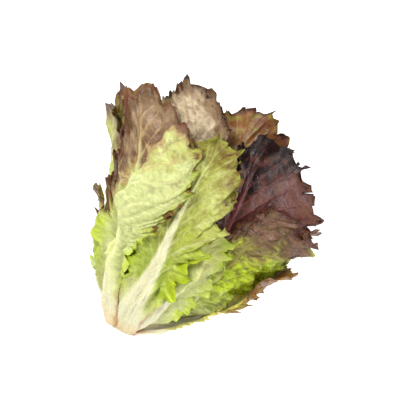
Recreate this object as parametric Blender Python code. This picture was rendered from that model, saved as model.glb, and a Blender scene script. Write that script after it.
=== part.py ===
"""A head of red-tipped leaf lettuce, cut at the butt and laid on its side.

Every leaf is one closed solid that grows from a short stem. +Y runs from the cut butt to the leaf tips,
+Z is up from the surface that the head lies on, and the origin is under the middle of the head.

The head is described in shell coordinates: an angle round its axis, a distance y along it, and a depth rho,
which is 0 on the axis and 1 on the outer shell. The leaves are laid from the heart outwards, and each is
pushed out until it is clear of those inside it.
"""

import math

import bpy
import numpy as np

MM = 0.001

# The outer shell: a power curve from the butt, wider than it is high, flatter underneath
SHELL_STATION = 190 * MM
SHELL_START = -9 * MM
SHELL_HALF_WIDTH = 113 * MM
SHELL_HALF_HEIGHT = 60 * MM
WIDTH_GROWTH = 0.74
HEIGHT_GROWTH = 0.45
UPPER_POWER = 2.0
UNDERSIDE_POWER = 2.8
AXIS_HEIGHT = 33 * MM
AXIS_RISE = 0.115
AXIS_SHIFT = 8 * MM
AXIS_SHIFT_SPAN = (20 * MM, 90 * MM)

# The stem that the leaves grow from
STEM_RADIUS = 13 * MM
STEM_TOP_RADIUS = 5 * MM
STEM_START = 2 * MM
STEM_LENGTH = 62 * MM
STEM_SIDES = 20
STEM_RINGS = 6
STEM_GAP = 0.5 * MM

# A leaf's outline. t runs from 0 at its base to 1 at its tip, and u from -1 to 1 across it
ROW_SPACING = 1.2
NECK_SPAN = (0.0, 0.28)
BLADE_SPAN = (0.16, 0.80)
HEEL = 4 * MM
HEEL_POWER = 8
TIP_ROUNDING = 0.22
TIP_POWER = 2.0
FAN_CENTRE = 0.35
LOBES = ((3, 0.06), (8, 0.035))
LOBE_LENGTH = 0.4
LOBE_SPAN = (0.1, 0.4)
SIDE_TOOTH = 0.018
TIP_TOOTH = 0.014

# A leaf's depth: where it leaves the stem, and where its frill, curl, fold, flare and tilt set in
LEAVING_SPAN = (-0.02, 0.16)
SIDE_MARGIN_POWER = 2.2
TIP_MARGIN_POWER = 5
FRILL_POWER = 2.2
FRILL_SHARES = (0.8, 0.5)
FRILL_SPAN = (0.08, 0.45)
CURL_POWER = 4
CURL_SPAN = (0.1, 0.5)
FOLD_HALF_WIDTH = 20 * MM
FOLD_SPAN = (0.2, 0.6)
FLARE_SPAN = (0.6, 1.0)
TILT_SPAN = (0.2, 0.8)

# A leaf's thickness: a thin blade with a thicker midrib
BLADE = 0.9 * MM
RIB_HALF_WIDTH = 7.5 * MM
RIB_TIP_HALF_WIDTH = 2.0 * MM
RIB_TAPER = 1.2
RIB_START_SPAN = (-0.05, 0.06)
LEAST_SLOPE = 0.45

# How much of the lowest leaf is pressed flat by the weight of the head
FLATTENED = 6.2 * MM

# The lattice that remembers how deep the leaves already reach
ANGLE_STEP = math.radians(1.2)
LENGTH_STEP = 1.5 * MM
LATTICE_LENGTH = 300 * MM

# How finely a leaf's triangles are tried against the lattice, and how often
SPLIT = 10
LAYING_PASSES = 30
LAYING_ROUNDS = 4
LEAST_SHELL_PLACE = 1 * MM
NUDGE = 1e-3

# Colours as the light returned in red, green and blue
GREEN = (0.42, 0.52, 0.12)
PALE_GREEN = (0.62, 0.68, 0.30)
BROWN = (0.28, 0.16, 0.07)
DARK_RED = (0.09, 0.025, 0.02)
STEM_SHADE = (0.80, 0.70, 0.45)
LEAF_ROUGHNESS = 0.5
STEM_ROUGHNESS = 0.6

# Rows and columns of a leaf's faces. Columns crowd towards the rib and the margins
OUTER_GRID = (16, (0.0, 0.10, 0.27, 0.47, 0.66, 0.83, 1.0))
INNER_GRID = (9, (0.0, 0.14, 0.42, 0.72, 1.0))


def leaf(name, angle, tip, rho, width, **more):
    """One leaf's own values, in millimetres and degrees.

    angle is the midrib's at its base, middle and tip. width is the blade's to either side, and wing its winged
    neck's. base and tip are places along the head. petiole is half the width of the leaf's stalk.
    """
    values = {
        "name": name,
        "angle": angle,
        "base": 3.0,
        "tip": tip,
        "rho": rho,
        "width": width,
        "petiole": 9.0,
        "wing": (24.0, 24.0),
        "flare": 0.0,
        "tilt": 0.0,
        "frill": 7.0,
        "curl": 3.0,
        "fold": 0.0,
        "rib": 2.4,
        "gap": 0.7,
        "waves": 9,
        "seed": 0,
        "grid": OUTER_GRID,
        "shade": GREEN,
    }
    values.update(more)
    return values


def inner(name, angle, tip, rho, half_width, **more):
    """A leaf of the dense heart: straight, plain and hardly waved."""
    plain = {"petiole": 6.0, "gap": 0.9, "frill": 3.0, "rib": 1.8, "waves": 7, "grid": INNER_GRID}
    return leaf(name, (angle, angle, angle), tip, rho, (half_width, half_width), **plain, **more)


# From the innermost leaf to the outermost, on which the head lies
LEAVES = (
    inner("leaf_heart", 150, 196, 0.15, 20, base=58, seed=22),
    inner("leaf_inner_1", 20, 204, 0.16, 28, base=53, seed=21),
    inner("leaf_inner_2", 250, 210, 0.24, 36, base=49, seed=20),
    inner("leaf_inner_3", 100, 218, 0.33, 42, base=45, seed=19),
    inner("leaf_inner_4", 345, 218, 0.42, 44, base=42, seed=18),
    inner("leaf_inner_5", 200, 226, 0.50, 48, base=39, seed=17),
    inner("leaf_inner_6", 300, 222, 0.58, 48, base=36, seed=16),
    inner("leaf_inner_7", 150, 234, 0.62, 48, base=33, seed=23),
    leaf("leaf_top_right", (60, 80, 86), 266, 0.70, (46, 52), base=30, seed=15, shade=BROWN),
    leaf("leaf_under_left", (240, 238, 234), 226, 0.88, (60, 60), base=27, frill=3, seed=10),
    leaf("leaf_top_hood", (112, 110, 113), 246, 0.80, (48, 44), base=25, flare=0.06, seed=12, shade=BROWN),
    leaf(
        "leaf_dark_red", (20, 58, 79), 246, 0.86, (38, 68),
        base=22, tilt=0.10, fold=8, seed=13, shade=DARK_RED,
    ),
    leaf("leaf_under_right", (310, 310, 306), 206, 0.88, (58, 58), base=19, frill=3, seed=31),
    leaf("leaf_back_left", (170, 163, 158), 218, 1.00, (56, 50), base=16, rib=1.8, seed=14, shade=BROWN),
    leaf("leaf_right", (-40, -20, -13), 184, 0.99, (56, 50), base=14, tilt=0.02, seed=8, shade=BROWN),
    leaf("leaf_right_crinkled", (28, 46, 46), 186, 0.94, (26, 60), base=12, tilt=0.13, waves=10, seed=9),
    leaf("leaf_left", (205, 194, 182), 200, 0.95, (50, 56), base=10, wing=(18, 18), rib=1.8, seed=7),
    leaf(
        "leaf_left_outer", (194, 184, 178), 120, 0.84, (24, 34),
        base=5, petiole=7, wing=(11, 11), waves=8, flare=0.26, tilt=-0.08, rib=1.2, seed=1,
    ),
    leaf(
        "leaf_upper_right", (50, 66, 68), 136, 0.90, (26, 22),
        base=8, wing=(18, 18), waves=7, seed=6, shade=PALE_GREEN,
    ),
    leaf(
        "leaf_upper_middle", (88, 98, 93), 224, 0.96, (44, 40),
        base=4, petiole=15, wing=(22, 22), waves=10, seed=5, shade=PALE_GREEN,
    ),
    leaf(
        "leaf_upper_left", (149, 135, 137), 233, 0.98, (19, 62),
        base=2, petiole=12, wing=(13, 13), waves=10, seed=4, shade=PALE_GREEN,
    ),
    leaf(
        "leaf_right_outer", (-14, -12, -4), 136, 1.28, (46, 42),
        base=2, petiole=11, wing=(26, 26), flare=-0.12, tilt=-0.06, seed=2, shade=BROWN,
    ),
    leaf(
        "leaf_under_middle", (266, 266, 266), 196, 1.00, (56, 56),
        base=1, tilt=0.06, frill=1.5, gap=4.6, seed=3,
    ),
)


def smooth(low, high, x):
    """A smooth step from 0 at low to 1 at high."""
    t = np.clip((x - low) / (high - low), 0, 1)
    return t * t * (3 - 2 * t)


def along_shell(y):
    return np.maximum(y - SHELL_START, LEAST_SHELL_PLACE) / (SHELL_STATION - SHELL_START)


def half_width(y):
    return SHELL_HALF_WIDTH * along_shell(y) ** WIDTH_GROWTH


def half_height(y):
    return SHELL_HALF_HEIGHT * along_shell(y) ** HEIGHT_GROWTH


def axis_height(y):
    return AXIS_HEIGHT + AXIS_RISE * y


def axis_side(y):
    return AXIS_SHIFT * smooth(*AXIS_SHIFT_SPAN, y)


def norm_power(z):
    return np.where(z < 0, UNDERSIDE_POWER, UPPER_POWER)


def outline_at(angle, y):
    """The outer shell's x, and its z above the axis, at an angle and a distance from the butt."""
    c, s = np.cos(angle), np.sin(angle)
    power = norm_power(s)
    size = (np.abs(c) ** power + np.abs(s) ** power) ** (1 / power)
    return half_width(y) * c / size, half_height(y) * s / size


def to_space(angle, y, rho):
    x, z = outline_at(angle, y)
    return np.stack([axis_side(y) + rho * x, y, axis_height(y) + rho * z], -1)


def to_shell(points):
    y = points[..., 1]
    x = (points[..., 0] - axis_side(y)) / half_width(y)
    z = (points[..., 2] - axis_height(y)) / half_height(y)
    power = norm_power(z)
    return np.arctan2(z, x), y, (np.abs(x) ** power + np.abs(z) ** power) ** (1 / power)


def shell_radius(angle, y):
    """How far one unit of rho reaches, in metres."""
    return np.hypot(*outline_at(angle, y))


def stem_radius(y):
    along = np.clip((y - STEM_START) / STEM_LENGTH, 0, 1)
    return STEM_RADIUS + (STEM_TOP_RADIUS - STEM_RADIUS) * along**2


class Lattice:
    """The rho that the leaves laid so far reach, over angle and distance from the butt."""

    def __init__(self):
        self.columns = round(2 * math.pi / ANGLE_STEP)
        self.rows = round(LATTICE_LENGTH / LENGTH_STEP) + 1
        angle = np.arange(self.columns)[:, None] * ANGLE_STEP
        y = np.arange(self.rows)[None, :] * LENGTH_STEP
        stem = np.where(y < STEM_START + STEM_LENGTH, stem_radius(y), 0.0)
        self.reach = stem / shell_radius(angle, y)

    def corners(self, angle, y):
        """The four lattice points round each place, with their shares."""
        across, along = angle / ANGLE_STEP, y / LENGTH_STEP
        column = np.floor(across).astype(int)
        row = np.clip(np.floor(along).astype(int), 0, self.rows - 2)
        across, along = across - column, np.clip(along - row, 0, 1)
        for i, wide in ((0, 1 - across), (1, across)):
            for j, far in ((0, 1 - along), (1, along)):
                yield ((column + i) % self.columns, row + j), wide * far

    def reached(self, angle, y):
        return sum(self.reach[at] * share for at, share in self.corners(angle, y))

    def add(self, angle, y, rho):
        for at, _ in self.corners(angle, y):
            np.maximum.at(self.reach, at, rho)


def phases_of(seed):
    """Two seeded phases for a leaf's waves."""
    return np.random.default_rng(seed).uniform(0, 2 * math.pi, 2)


class Leaf:
    """The grid of one leaf: where each point lies on the shell, how thick it is, and its depth."""

    def __init__(self, values):
        self.v = values
        rows, columns = values["grid"]
        half = np.array(columns)
        self.u = np.concatenate([-half[:0:-1], half])[None, :]
        self.t = np.linspace(0, 1, rows + 1)[:, None] ** ROW_SPACING
        self.place()
        self.rho = np.full_like(self.y, values["rho"])

    def place(self):
        """Lays the leaf's outline out flat: how far across it and along the head each point is."""
        v, u, t = self.v, self.u, self.t
        self.length = (v["tip"] - v["base"]) * MM
        blade, wing = (np.where(u < 0, *v[sides]) * MM for sides in ("width", "wing"))
        petiole = v["petiole"] * MM
        spread = petiole + (wing - petiole) * smooth(*NECK_SPAN, t)
        across = u * (spread + (blade - wing) * smooth(*BLADE_SPAN, t))
        along = self.length * (t - TIP_ROUNDING * t**2 * np.abs(u) ** TIP_POWER)
        self.around = np.arctan2(across, along - FAN_CENTRE * self.length)
        self.margin = 1 - (1 - np.abs(u) ** SIDE_MARGIN_POWER) * (1 - t**TIP_MARGIN_POWER)
        grown = smooth(*LOBE_SPAN, t)
        lobes = self.lobes() * grown
        side_teeth, tip_teeth = self.teeth()
        self.across = across * (1 + lobes + side_teeth * grown)
        heel = HEEL * u**2 * (1 - t) ** HEEL_POWER
        self.y = v["base"] * MM + heel + along * (1 + LOBE_LENGTH * lobes * t + tip_teeth)

    def lobes(self):
        """The outline's slow waves, in and out."""
        waves = zip(LOBES, phases_of(self.v["seed"]))
        swell = sum(size * np.sin(count * self.around + phase) for (count, size), phase in waves)
        return self.margin**2 * swell

    def teeth(self):
        """In and out by turns: across the leaf at its side edges, and along it at its tip."""
        rows, columns = np.indices(self.margin.shape)
        turn = (-1.0) ** (rows + columns)
        side = np.abs(self.u) == 1
        return side * SIDE_TOOTH * turn, (self.t == 1) * ~side * TIP_TOOTH * turn

    def march(self, rho):
        """The angle of each point at a depth, found by stepping out from the midrib along the shell."""
        base, middle, tip = np.radians(self.v["angle"])
        share = (self.y - self.v["base"] * MM) / self.length
        bend = 4 * (middle - (base + tip) / 2)
        line = base + (tip - base) * share + bend * share * (1 - share)
        centre = self.u.shape[1] // 2
        angle = np.empty_like(self.y)
        angle[:, centre] = line[:, centre]
        for order in (range(centre + 1, self.u.shape[1]), range(centre - 1, -1, -1)):
            before = centre
            for j in order:
                here, y = angle[:, before], self.y[:, j]
                x1, z1 = outline_at(here + NUDGE, y)
                x0, z0 = outline_at(here - NUDGE, y)
                per_angle = rho[:, j] * np.hypot(x1 - x0, z1 - z0) / (2 * NUDGE)
                step = (self.across[:, j] - self.across[:, before]) / per_angle
                angle[:, j] = here - step + (line[:, j] - line[:, before])
                before = j
        return angle

    def depth(self):
        v, u, t = self.v, self.u, self.t
        rho = v["rho"] + v["flare"] * smooth(*FLARE_SPAN, t) + v["tilt"] * u * smooth(*TILT_SPAN, t)
        start = (stem_radius(self.y) + STEM_GAP) / shell_radius(self.angle, self.y)
        rho = start + (rho - start) * smooth(*LEAVING_SPAN, t)
        counts = (v["waves"], v["waves"] // 2 + 1)
        waves = zip(FRILL_SHARES, counts, phases_of(v["seed"] + 100))
        frill = sum(share * np.cos(count * self.around + phase) for share, count, phase in waves)
        frill = frill * v["frill"] * MM * self.margin**FRILL_POWER * smooth(*FRILL_SPAN, t)
        curl = v["curl"] * MM * self.margin**CURL_POWER * smooth(*CURL_SPAN, t)
        fold = v["fold"] * MM * np.exp(-((self.across / FOLD_HALF_WIDTH) ** 2)) * smooth(*FOLD_SPAN, t)
        return rho + (frill + curl - fold) / shell_radius(self.angle, self.y)

    def thickness(self):
        t = self.t
        taper = (1 - t) ** RIB_TAPER * smooth(*RIB_START_SPAN, t)
        width = RIB_TIP_HALF_WIDTH + (RIB_HALF_WIDTH - RIB_TIP_HALF_WIDTH) * (1 - t)
        return BLADE + self.v["rib"] * MM * taper * np.exp(-((self.across / width) ** 2))

    def faces(self):
        """The inner and the outer face, as grids of points in space.

        The blade is thickened along the shell's radius, and more where it is steep, so that its faces
        don't cross.
        """
        inner_face = to_space(self.angle, self.y, self.rho)
        down = np.gradient(inner_face, axis=0)
        over = np.gradient(inner_face, axis=1)
        normal = np.cross(down, over)
        normal /= np.linalg.norm(normal, axis=-1, keepdims=True)
        x, z = outline_at(self.angle, self.y)
        outward = np.stack([x, 0 * x, z], -1) / np.hypot(x, z)[..., None]
        slope = np.abs(np.sum(normal * outward, axis=-1))
        reach = self.thickness() / np.maximum(slope, LEAST_SLOPE)
        return inner_face, inner_face + outward * reach[..., None]

    def clear(self, lattice):
        """Pushes the leaf out until its inner face is clear of what is laid already."""
        for _ in range(LAYING_PASSES):
            angle, y, rho = to_shell(samples(self.faces()[0]))
            short = lattice.reached(angle, y) + self.v["gap"] * MM / shell_radius(angle, y) - rho
            push = per_vertex(short, self.rho.shape)
            if push.max() <= 0:
                break
            self.rho = self.rho + push

    def lay_over(self, lattice):
        """Finds the leaf's place outside the leaves that are laid, at its own width."""
        for _ in range(LAYING_ROUNDS):
            self.angle = self.march(evened(self.rho))
            self.rho = self.depth()
            self.clear(lattice)
        for face in self.faces():
            lattice.add(*(values.ravel() for values in to_shell(samples(face))))


def evened(grid):
    """Each value averaged with those round it, twice."""
    for _ in range(2):
        padded = np.pad(grid, 1, mode="edge")
        rows = padded[:-2] + 2 * padded[1:-1] + padded[2:]
        grid = (rows[:, :-2] + 2 * rows[:, 1:-1] + rows[:, 2:]) / 16
    return grid


def triangles_of(shape):
    """Vertex numbers of a grid's triangles, three a row."""
    rows, columns = shape
    number = np.arange(rows * columns).reshape(rows, columns)
    a, b = number[:-1, :-1].ravel(), number[:-1, 1:].ravel()
    c, d = number[1:, 1:].ravel(), number[1:, :-1].ravel()
    return np.concatenate([np.stack([a, b, c], 1), np.stack([a, c, d], 1)])


def spots():
    """Shares of a triangle's three corners, evenly over it."""
    found = [(i, j, SPLIT - i - j) for i in range(SPLIT + 1) for j in range(SPLIT + 1 - i)]
    return np.array(found) / SPLIT


def samples(face):
    """Points spread evenly over a face's triangles."""
    corners = face.reshape(-1, 3)[triangles_of(face.shape[:2])]
    return np.einsum("sk,tkx->tsx", spots(), corners)


def per_vertex(short, shape):
    """How far each vertex's triangles are short at most."""
    triangles = triangles_of(shape)
    share = spots() / np.sum(spots() ** 2, axis=1, keepdims=True)
    most = np.zeros(shape[0] * shape[1])
    for corner in range(3):
        np.maximum.at(most, triangles[:, corner], (short * share[:, corner]).max(axis=1))
    return most.reshape(shape)


def head_origin(items):
    """The point under the middle of the head, at the level that its last and lowest leaf is pressed to."""
    points = np.concatenate([face.reshape(-1, 3) for item in items for face in item.faces()])
    low, high = points.min(axis=0), points.max(axis=0)
    return np.array([*(low + high)[:2] / 2, low[2] + FLATTENED])


def mesh_object(name, points, faces):
    mesh = bpy.data.meshes.new(name)
    mesh.from_pydata(points.tolist(), [], faces)
    made = bpy.data.objects.new(name, mesh)
    bpy.context.scene.collection.objects.link(made)
    return made


def rim_of(number):
    """Vertex numbers round the edge of a grid, in order."""
    return np.concatenate([number[0, :], number[1:, -1], number[-1, -2::-1], number[-2:0:-1, 0]])


def leaf_object(item, origin, resting):
    """A closed solid: the inner face, the outer face and the rim between them."""
    inner_face, outer_face = item.faces()
    count = item.rho.size
    face = triangles_of(item.rho.shape)
    edge = rim_of(np.arange(count).reshape(item.rho.shape))
    after = np.roll(edge, -1)
    rim = [np.stack([edge, after, after + count], 1), np.stack([edge, after + count, edge + count], 1)]
    triangles = np.concatenate([face[:, ::-1], face + count] + rim)
    points = np.concatenate([inner_face.reshape(-1, 3), outer_face.reshape(-1, 3)]) - origin
    if resting:
        points[:count, 2] = np.maximum(points[:count, 2], BLADE)
        points[count:, 2] = np.maximum(points[count:, 2], 0)
    return mesh_object(item.v["name"], points, triangles.tolist())


def stem_object(origin):
    y = STEM_START + STEM_LENGTH * np.linspace(0, 1, STEM_RINGS)[:, None]
    turn = 2 * math.pi * np.arange(STEM_SIDES)[None, :] / STEM_SIDES
    radius = stem_radius(y)
    x = axis_side(y) + radius * np.cos(turn)
    z = axis_height(y) + radius * np.sin(turn)
    points = np.stack([x, y + 0 * x, z], -1).reshape(-1, 3) - origin
    number = np.arange(STEM_RINGS * STEM_SIDES).reshape(STEM_RINGS, STEM_SIDES)
    after = np.roll(number, -1, axis=1)
    side = [number[:-1], after[:-1], after[1:], number[1:]]
    faces = np.stack(side, -1).reshape(-1, 4)[:, ::-1].tolist()
    faces += [number[0].tolist(), number[-1, ::-1].tolist()]
    return mesh_object("stem", points, faces)


def colour(made, shade, roughness):
    material = bpy.data.materials.new(made.name)
    material.use_nodes = True
    shader = material.node_tree.nodes["Principled BSDF"]
    shader.inputs["Base Color"].default_value = (*shade, 1)
    shader.inputs["Roughness"].default_value = roughness
    shader.inputs["Metallic"].default_value = 0
    made.data.materials.append(material)


def main():
    for found in list(bpy.data.objects):
        bpy.data.objects.remove(found)
    lattice = Lattice()
    items = [Leaf(values) for values in LEAVES]
    for item in items:
        item.lay_over(lattice)
    origin = head_origin(items)
    for item in items:
        made = leaf_object(item, origin, item is items[-1])
        colour(made, item.v["shade"], LEAF_ROUGHNESS)
    colour(stem_object(origin), STEM_SHADE, STEM_ROUGHNESS)


main()
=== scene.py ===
"""The looks of a head of red-tipped leaf lettuce that lies on its side.

Each leaf of the frame is rebuilt as a finer blade that keeps its place: it gets veins, bubbles, a ruffled and
toothed margin, and a material whose colour runs from a cream rib to brown and maroon edges.
"""

import math

import bpy
import numpy as np
from mathutils import Matrix


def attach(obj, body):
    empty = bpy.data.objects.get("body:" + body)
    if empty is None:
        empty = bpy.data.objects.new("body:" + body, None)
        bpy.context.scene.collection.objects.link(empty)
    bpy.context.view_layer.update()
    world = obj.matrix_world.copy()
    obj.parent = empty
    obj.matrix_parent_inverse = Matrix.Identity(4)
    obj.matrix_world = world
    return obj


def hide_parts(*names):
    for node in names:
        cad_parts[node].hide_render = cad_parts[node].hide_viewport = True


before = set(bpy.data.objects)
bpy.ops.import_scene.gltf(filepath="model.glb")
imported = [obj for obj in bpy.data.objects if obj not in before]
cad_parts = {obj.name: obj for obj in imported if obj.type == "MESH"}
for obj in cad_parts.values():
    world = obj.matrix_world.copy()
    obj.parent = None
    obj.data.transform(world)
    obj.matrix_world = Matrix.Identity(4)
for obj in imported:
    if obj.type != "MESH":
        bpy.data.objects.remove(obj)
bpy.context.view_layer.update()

MM = 0.001

# The outer shell that the leaves are laid on, as the solids have it
SHELL_STATION = 190 * MM
SHELL_START = -9 * MM
SHELL_HALF_WIDTH = 113 * MM
SHELL_HALF_HEIGHT = 60 * MM
WIDTH_GROWTH = 0.74
HEIGHT_GROWTH = 0.45
UPPER_POWER = 2.0
UNDERSIDE_POWER = 2.8
AXIS_HEIGHT = 33 * MM
AXIS_RISE = 0.115
AXIS_SHIFT = 8 * MM
AXIS_SHIFT_SPAN = (20 * MM, 90 * MM)

# The stem
STEM_RADIUS = 13 * MM
STEM_TOP_RADIUS = 5 * MM
STEM_START = 2 * MM
STEM_LENGTH = 62 * MM
STEM_GAP = 0.5 * MM
STEM_SIDES = 96
STEM_RINGS = 60
STEM_GROOVES = 9
STEM_GROOVE = 0.03
STEM_HOLLOW = 0.8 * MM
STEM_MOTTLING = 160.0
STEM_ROUGHNESS = 0.5

# A leaf's outline. t runs from 0 at its base to 1 at its tip, and u from -1 to 1 across it
ROW_SPACING = 1.2
NECK_SPAN = (0.0, 0.28)
BLADE_SPAN = (0.16, 0.80)
HEEL = 4 * MM
HEEL_POWER = 8
TIP_ROUNDING = 0.22
TIP_POWER = 2.0
FAN_CENTRE = 0.35
LOBES = ((3, 0.06), (8, 0.035))
LOBE_LENGTH = 0.4
LOBE_SPAN = (0.1, 0.4)
SIDE_TOOTH = 0.018
TIP_TOOTH = 0.014

# A leaf's depth on the shell
LEAVING_SPAN = (-0.02, 0.16)
SIDE_MARGIN_POWER = 2.2
TIP_MARGIN_POWER = 5
FRILL_POWER = 2.2
FRILL_SHARES = (0.8, 0.5)
FRILL_SPAN = (0.08, 0.45)
CURL_POWER = 4
CURL_SPAN = (0.1, 0.5)
FOLD_HALF_WIDTH = 20 * MM
FOLD_SPAN = (0.2, 0.6)
FLARE_SPAN = (0.6, 1.0)
TILT_SPAN = (0.2, 0.8)

# A leaf's thickness in the solids
BLADE = 0.9 * MM
RIB_HALF_WIDTH = 7.5 * MM
RIB_TIP_HALF_WIDTH = 2.0 * MM
RIB_TAPER = 1.2
RIB_START_SPAN = (-0.05, 0.06)
LEAST_SLOPE = 0.45
FLATTENED = 6.2 * MM

# The lattice that remembers how deep the leaves reach, and how the leaves are tried against it
ANGLE_STEP = math.radians(1.2)
LENGTH_STEP = 1.5 * MM
LATTICE_LENGTH = 300 * MM
SPLIT = 10
LAYING_PASSES = 30
LAYING_ROUNDS = 4
LEAST_SHELL_PLACE = 1 * MM
NUDGE = 1e-3

# Rows and columns of the solids' faces
OUTER_GRID = (16, (0.0, 0.10, 0.27, 0.47, 0.66, 0.83, 1.0))
INNER_GRID = (9, (0.0, 0.14, 0.42, 0.72, 1.0))

# The fine blade
FINE_BLADE = 0.55 * MM
EDGE_BLADE = 0.30 * MM
EDGE_BLADE_SPAN = (0, 6 * MM)
CLEARANCE = 0.12 * MM
EASING_PASSES = 3
LEAST_LENGTH = 1e-6
LEAST_RHO = 0.1
EDGE_CROWDING = 1.45
TIP_CROWDING = 1.2


PLAIN_LEAF = {
    "base": 3.0, "petiole": 9.0, "wing": (24.0, 24.0), "flare": 0.0, "tilt": 0.0, "frill": 7.0, "curl": 3.0,
    "fold": 0.0, "rib": 2.4, "gap": 0.7, "waves": 9, "seed": 0, "grid": OUTER_GRID,
}


def leaf(name, angle, tip, rho, width, **more):
    """One leaf's own values, in millimetres and degrees, as the solids have them."""
    own = {"name": name, "angle": angle, "tip": tip, "rho": rho, "width": width}
    return {**PLAIN_LEAF, **own, **more}


def inner(name, angle, tip, rho, half_width, **more):
    """A leaf of the dense heart: straight, plain and hardly waved."""
    plain = {"petiole": 6.0, "gap": 0.9, "frill": 3.0, "rib": 1.8, "waves": 7, "grid": INNER_GRID}
    return leaf(name, (angle, angle, angle), tip, rho, (half_width, half_width), **plain, **more)


# From the innermost leaf to the outermost, on which the head lies
LEAVES = (
    inner("leaf_heart", 150, 196, 0.15, 20, base=58, seed=22),
    inner("leaf_inner_1", 20, 204, 0.16, 28, base=53, seed=21),
    inner("leaf_inner_2", 250, 210, 0.24, 36, base=49, seed=20),
    inner("leaf_inner_3", 100, 218, 0.33, 42, base=45, seed=19),
    inner("leaf_inner_4", 345, 218, 0.42, 44, base=42, seed=18),
    inner("leaf_inner_5", 200, 226, 0.50, 48, base=39, seed=17),
    inner("leaf_inner_6", 300, 222, 0.58, 48, base=36, seed=16),
    inner("leaf_inner_7", 150, 234, 0.62, 48, base=33, seed=23),
    leaf("leaf_top_right", (60, 80, 86), 266, 0.70, (46, 52), base=30, seed=15),
    leaf("leaf_under_left", (240, 238, 234), 226, 0.88, (60, 60), base=27, frill=3, seed=10),
    leaf("leaf_top_hood", (112, 110, 113), 246, 0.80, (48, 44), base=25, flare=0.06, seed=12),
    leaf("leaf_dark_red", (20, 58, 79), 246, 0.86, (38, 68), base=22, tilt=0.10, fold=8, seed=13),
    leaf("leaf_under_right", (310, 310, 306), 206, 0.88, (58, 58), base=19, frill=3, seed=31),
    leaf("leaf_back_left", (170, 163, 158), 218, 1.00, (56, 50), base=16, rib=1.8, seed=14),
    leaf("leaf_right", (-40, -20, -13), 184, 0.99, (56, 50), base=14, tilt=0.02, seed=8),
    leaf("leaf_right_crinkled", (28, 46, 46), 186, 0.94, (26, 60), base=12, tilt=0.13, waves=10, seed=9),
    leaf("leaf_left", (205, 194, 182), 200, 0.95, (50, 56), base=10, wing=(18, 18), rib=1.8, seed=7),
    leaf(
        "leaf_left_outer", (194, 184, 178), 120, 0.84, (24, 34),
        base=5, petiole=7, wing=(11, 11), waves=8, flare=0.26, tilt=-0.08, rib=1.2, seed=1,
    ),
    leaf("leaf_upper_right", (50, 66, 68), 136, 0.90, (26, 22), base=8, wing=(18, 18), waves=7, seed=6),
    leaf(
        "leaf_upper_middle", (88, 98, 93), 224, 0.96, (44, 40),
        base=4, petiole=15, wing=(22, 22), waves=10, seed=5,
    ),
    leaf(
        "leaf_upper_left", (149, 135, 137), 233, 0.98, (19, 62),
        base=2, petiole=12, wing=(13, 13), waves=10, seed=4,
    ),
    leaf(
        "leaf_right_outer", (-14, -12, -4), 136, 1.28, (46, 42),
        base=2, petiole=11, wing=(26, 26), flare=-0.12, tilt=-0.06, seed=2,
    ),
    leaf(
        "leaf_under_middle", (266, 266, 266), 196, 1.00, (56, 56),
        base=1, tilt=0.06, frill=1.5, gap=4.6, seed=3,
    ),
)


def smooth(low, high, x):
    """A smooth step from 0 at low to 1 at high."""
    t = np.clip((x - low) / (high - low), 0, 1)
    return t * t * (3 - 2 * t)


def along_shell(y):
    return np.maximum(y - SHELL_START, LEAST_SHELL_PLACE) / (SHELL_STATION - SHELL_START)


def half_width(y):
    return SHELL_HALF_WIDTH * along_shell(y) ** WIDTH_GROWTH


def half_height(y):
    return SHELL_HALF_HEIGHT * along_shell(y) ** HEIGHT_GROWTH


def axis_height(y):
    return AXIS_HEIGHT + AXIS_RISE * y


def axis_side(y):
    return AXIS_SHIFT * smooth(*AXIS_SHIFT_SPAN, y)


def norm_power(z):
    return np.where(z < 0, UNDERSIDE_POWER, UPPER_POWER)


def outline_at(angle, y):
    """The outer shell's x, and its z above the axis, at an angle and a distance from the butt."""
    c, s = np.cos(angle), np.sin(angle)
    power = norm_power(s)
    size = (np.abs(c) ** power + np.abs(s) ** power) ** (1 / power)
    return half_width(y) * c / size, half_height(y) * s / size


def to_space(angle, y, rho):
    x, z = outline_at(angle, y)
    return np.stack([axis_side(y) + rho * x, y, axis_height(y) + rho * z], -1)


def to_shell(points):
    y = points[..., 1]
    x = (points[..., 0] - axis_side(y)) / half_width(y)
    z = (points[..., 2] - axis_height(y)) / half_height(y)
    power = norm_power(z)
    return np.arctan2(z, x), y, (np.abs(x) ** power + np.abs(z) ** power) ** (1 / power)


def shell_radius(angle, y):
    """How far one unit of rho reaches, in metres."""
    return np.hypot(*outline_at(angle, y))


def width_per_angle(angle, y):
    """How far one radian reaches along the shell, in metres."""
    x1, z1 = outline_at(angle + NUDGE, y)
    x0, z0 = outline_at(angle - NUDGE, y)
    return np.hypot(x1 - x0, z1 - z0) / (2 * NUDGE)


def stem_radius(y):
    along = np.clip((y - STEM_START) / STEM_LENGTH, 0, 1)
    return STEM_RADIUS + (STEM_TOP_RADIUS - STEM_RADIUS) * along**2


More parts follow.
